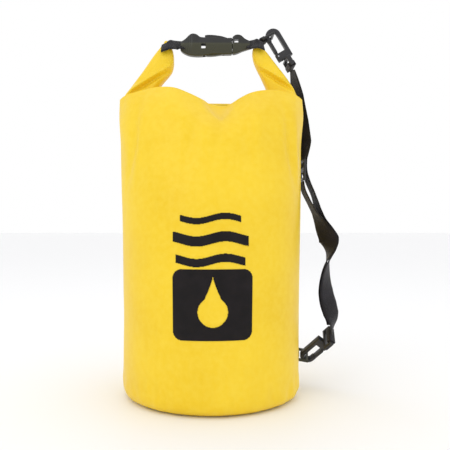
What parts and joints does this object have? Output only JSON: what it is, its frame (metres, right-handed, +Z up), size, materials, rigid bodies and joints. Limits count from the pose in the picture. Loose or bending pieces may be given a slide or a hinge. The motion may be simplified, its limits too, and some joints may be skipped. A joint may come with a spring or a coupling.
{
  "type": "dry bag",
  "caption": "Roll-top waterproof bag, a round tube with a rolled mouth buckled into a carry loop, and a clip-on adjustable shoulder strap.",
  "frame": {"origin": "centre of the round base, on the floor", "axes": "+Z up the bag; -Y towards the printed front; +X towards the shoulder strap"},
  "size_m": [0.2503, 0.2014, 0.4177],
  "materials": {
    "tarpaulin": "coated polyester tarpaulin, satin",
    "print_ink": "screen ink, matt",
    "webbing": "woven polyester webbing",
    "buckle_plastic": "moulded acetal",
    "hook_plastic": "moulded acetal",
    "stiffener": "extruded strip",
    "steel": "plain steel"
  },
  "bodies": {
    "root": {"bag_body": "tarpaulin", "base_panel": "tarpaulin", "base_weld_band": "tarpaulin", "back_seam_tape": "tarpaulin", "roll_top": "tarpaulin", "left_gusset": "tarpaulin", "right_roll_end": "tarpaulin", "stiffener_strip": "stiffener", "printed_panel": "print_ink", "right_webbing_tab": "webbing", "buckle_plug": "buckle_plastic", "lower_anchor_patch": "tarpaulin", "strap_main": "webbing", "strap_return": "webbing", "strap_slider": "buckle_plastic", "upper_hook_body": "hook_plastic", "upper_gate_pin": "steel", "upper_gate_spring": "steel", "upper_d_ring": "buckle_plastic", "upper_d_ring_loop": "webbing", "lower_hook_body": "hook_plastic", "lower_gate_pin": "steel", "lower_gate_spring": "steel", "lower_d_ring": "buckle_plastic", "lower_d_ring_loop": "webbing"},
    "socket": {"buckle_socket": "buckle_plastic", "left_webbing_tab": "webbing", "left_roll_end": "tarpaulin"},
    "latch_upper": {"latch_arm_upper": "buckle_plastic"},
    "latch_lower": {"latch_arm_lower": "buckle_plastic"},
    "upper_gate": {"upper_hook_gate": "hook_plastic"},
    "lower_gate": {"lower_hook_gate": "hook_plastic"},
    "upper_swivel": {"upper_swivel_eye": "hook_plastic", "upper_strap_loop": "webbing"},
    "lower_swivel": {"lower_swivel_eye": "hook_plastic", "lower_strap_loop": "webbing"}
  },
  "joints": [
    {"name": "socket_release", "type": "slide", "parent": "root", "child": "socket", "axis": [-1, 0, 0], "range_m": [0, 0.03]},
    {"name": "latch_upper_flex", "type": "hinge", "parent": "root", "child": "latch_upper", "pos_m": [0.024, 0, 0.408], "axis": [0, 1, 0], "range_deg": [-15, 0]},
    {"name": "latch_lower_flex", "type": "hinge", "parent": "root", "child": "latch_lower", "pos_m": [0.024, 0, 0.384], "axis": [0, 1, 0], "range_deg": [0, 15]},
    {"name": "upper_gate_press", "type": "hinge", "parent": "root", "child": "upper_gate", "pos_m": [0.07791, 0.008, 0.38561], "axis": [0, 1, 0], "range_deg": [0, 25], "stiffness_Nm_per_rad": 0.02},
    {"name": "upper_hook_swivel", "type": "hinge", "parent": "root", "child": "upper_swivel", "pos_m": [0.08656, 0.008, 0.38377], "axis": [-0.5101, 0, 0.8601], "range_deg": [-12, 12]},
    {"name": "lower_gate_press", "type": "hinge", "parent": "root", "child": "lower_gate", "pos_m": [0.13411, 0.02, 0.0476], "axis": [0.1142, 0.8669, 0.4852], "range_deg": [0, 25], "stiffness_Nm_per_rad": 0.02},
    {"name": "lower_hook_swivel", "type": "hinge", "parent": "root", "child": "lower_swivel", "pos_m": [0.13252, 0.01591, 0.05528], "axis": [-0.5958, 0.4506, -0.6649], "range_deg": [-12, 12]}
  ],
  "couplings": [
    {"joint": "latch_upper_flex", "follows": "socket_release", "rad_per_m": -8.7},
    {"joint": "latch_lower_flex", "follows": "socket_release", "rad_per_m": 8.7}
  ]
}
